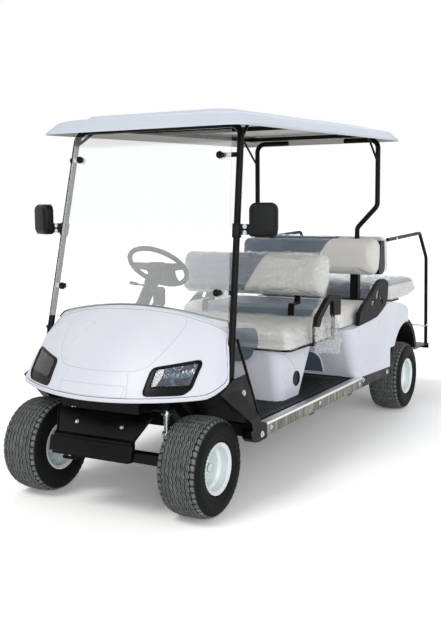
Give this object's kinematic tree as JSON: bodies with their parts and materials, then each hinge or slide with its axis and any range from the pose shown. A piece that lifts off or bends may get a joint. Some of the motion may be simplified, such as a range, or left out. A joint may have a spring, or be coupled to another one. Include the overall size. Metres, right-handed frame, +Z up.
{
  "type": "golf cart",
  "caption": "Open electric golf cart with forward and rear-facing benches, roof on tube posts, clear windshield, steered front wheels.",
  "frame": {"origin": "on the ground under the middle of the cart's width and length", "axes": "+X to the cart's left, front faces -Y, +Y along its length towards the rear step, +Z up"},
  "size_m": [1.3958, 3.5751, 1.8836],
  "materials": {
    "tyre": "matte",
    "wheel_white": "gloss",
    "axle_steel": "satin",
    "damper_steel": "satin",
    "trim_black": "matte",
    "frame_black": "satin",
    "sill_metal": "satin",
    "mat_rubber": "matte",
    "body_white": "gloss",
    "lamp_lens": "gloss",
    "clear_sheet": "gloss",
    "seat_cream": "satin",
    "battery_case": "matte"
  },
  "bodies": {
    "chassis": {"front_axle": "axle_steel", "front_struts": "damper_steel", "steering_column": "trim_black", "frame_rails": "frame_black", "frame_cross_members": "frame_black", "frame_outriggers": "frame_black", "rear_side_rails": "frame_black", "side_sills": "sill_metal", "floor_pan": "frame_black", "floor_mat": "mat_rubber", "step_brackets": "frame_black", "front_cowl": "body_white", "headlamp_bezels": "trim_black", "headlamp_lenses": "lamp_lens", "front_bumper": "trim_black", "dash_panel": "trim_black", "front_underbody": "trim_black", "pedals": "frame_black", "roof_panel": "body_white", "roof_rails": "frame_black", "roof_cross_bars": "frame_black", "front_hoop": "frame_black", "rear_struts": "frame_black", "windshield": "clear_sheet", "windshield_knobs": "trim_black", "mirrors": "trim_black", "front_seat_base": "body_white", "front_seat_deck": "trim_black", "wheel_well_liners": "trim_black", "rear_seat_frame": "frame_black", "seat_back_shell": "trim_black", "rear_body": "body_white", "front_seat_cushion": "seat_cream", "second_seat_cushion": "seat_cream", "rear_seat_cushion": "seat_cream", "front_seat_back": "seat_cream", "second_seat_back": "seat_cream", "rear_seat_back": "seat_cream", "front_back_brackets": "frame_black", "hip_guards": "trim_black", "rear_footplate": "frame_black", "rear_grab_rails": "frame_black", "rear_axle": "axle_steel", "rear_springs": "frame_black", "battery_pack": "battery_case"},
    "front_left_wheel": {"front_left_tyre": "tyre", "front_left_rim": "wheel_white"},
    "front_right_wheel": {"front_right_tyre": "tyre", "front_right_rim": "wheel_white"},
    "rear_left_wheel": {"rear_left_tyre": "tyre", "rear_left_rim": "wheel_white"},
    "rear_right_wheel": {"rear_right_tyre": "tyre", "rear_right_rim": "wheel_white"},
    "left_steering_knuckle": {"left_knuckle": "axle_steel"},
    "right_steering_knuckle": {"right_knuckle": "axle_steel"},
    "steering_tie_rod": {"tie_rod": "axle_steel"},
    "steering_hand_wheel": {"steering_wheel": "trim_black"}
  },
  "joints": [
    {"name": "steering_turn", "type": "hinge", "parent": "chassis", "child": "steering_hand_wheel", "pos_m": [-0.212, -0.86245, 1.0646], "axis": [0, 0.6428, 0.766], "range_deg": [-360, 360]},
    {"name": "left_knuckle_turn", "type": "hinge", "parent": "chassis", "child": "left_steering_knuckle", "pos_m": [0.305, -1.54245, 0.2285], "axis": [0, 0, 1], "range_deg": [-30, 30]},
    {"name": "right_knuckle_turn", "type": "hinge", "parent": "chassis", "child": "right_steering_knuckle", "pos_m": [-0.305, -1.54245, 0.2285], "axis": [0, 0, 1], "range_deg": [-30, 30]},
    {"name": "tie_rod_slide", "type": "slide", "parent": "chassis", "child": "steering_tie_rod", "axis": [1, 0, 0], "range_m": [-0.0525, 0.0525]},
    {"name": "front_left_wheel_spin", "type": "hinge", "parent": "left_steering_knuckle", "child": "front_left_wheel", "pos_m": [0.44, -1.54245, 0.2285], "axis": [1, 0, 0], "continuous": true},
    {"name": "front_right_wheel_spin", "type": "hinge", "parent": "right_steering_knuckle", "child": "front_right_wheel", "pos_m": [-0.44, -1.54245, 0.2285], "axis": [1, 0, 0], "continuous": true},
    {"name": "rear_left_wheel_spin", "type": "hinge", "parent": "chassis", "child": "rear_left_wheel", "pos_m": [0.4925, 0.95755, 0.2285], "axis": [1, 0, 0], "continuous": true},
    {"name": "rear_right_wheel_spin", "type": "hinge", "parent": "chassis", "child": "rear_right_wheel", "pos_m": [-0.4925, 0.95755, 0.2285], "axis": [1, 0, 0], "continuous": true}
  ],
  "couplings": [
    {"joint": "left_knuckle_turn", "follows": "steering_turn", "ratio": 0.083333},
    {"joint": "right_knuckle_turn", "follows": "steering_turn", "ratio": 0.083333},
    {"joint": "tie_rod_slide", "follows": "steering_turn", "m_per_rad": -0.0083556}
  ]
}
